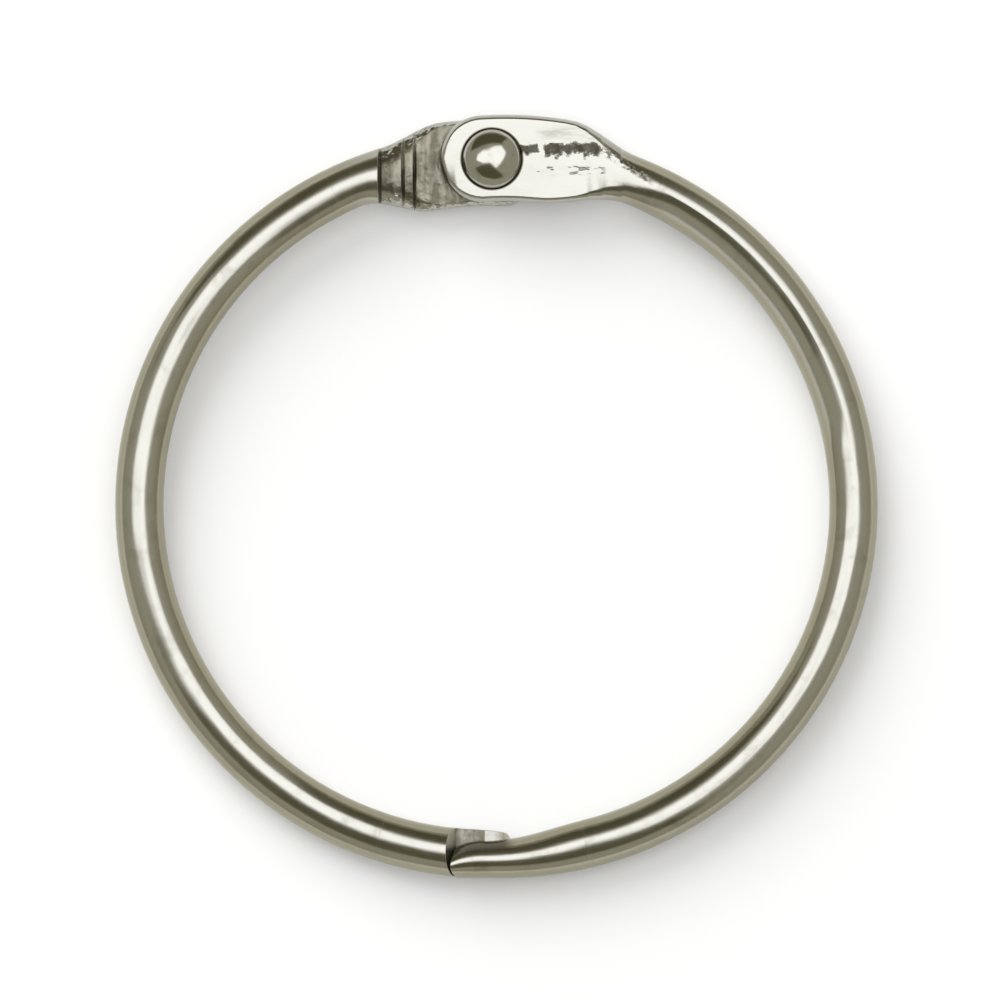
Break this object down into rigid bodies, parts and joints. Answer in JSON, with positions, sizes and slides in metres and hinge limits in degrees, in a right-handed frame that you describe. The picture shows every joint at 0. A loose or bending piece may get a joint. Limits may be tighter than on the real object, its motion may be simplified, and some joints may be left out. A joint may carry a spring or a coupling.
{
  "type": "binder ring",
  "caption": "Hinged round-wire ring that turns open on a riveted tab joint and snaps shut with a hooked half-lap clasp, to hold punched sheets together.",
  "frame": {"origin": "middle of the closed ring in X and Y, on the plane where the two tabs lap in Z", "axes": "+Z out of the ring's plane towards the rivet's round head, +Y from the clasp to the hinge, +X towards the half that turns"},
  "size_m": [0.0582, 0.0582, 0.0059],
  "materials": {
    "plated_wire": "polished",
    "plated_rivet": "polished"
  },
  "bodies": {
    "fixed_half": {"left_half": "plated_wire", "rivet": "plated_rivet"},
    "opening_half": {"right_half": "plated_wire"}
  },
  "joints": [
    {"name": "opening", "type": "hinge", "parent": "fixed_half", "child": "opening_half", "pos_m": [-0.00035, 0.0257, 0], "axis": [0, 0, 1], "range_deg": [0, 135]}
  ]
}
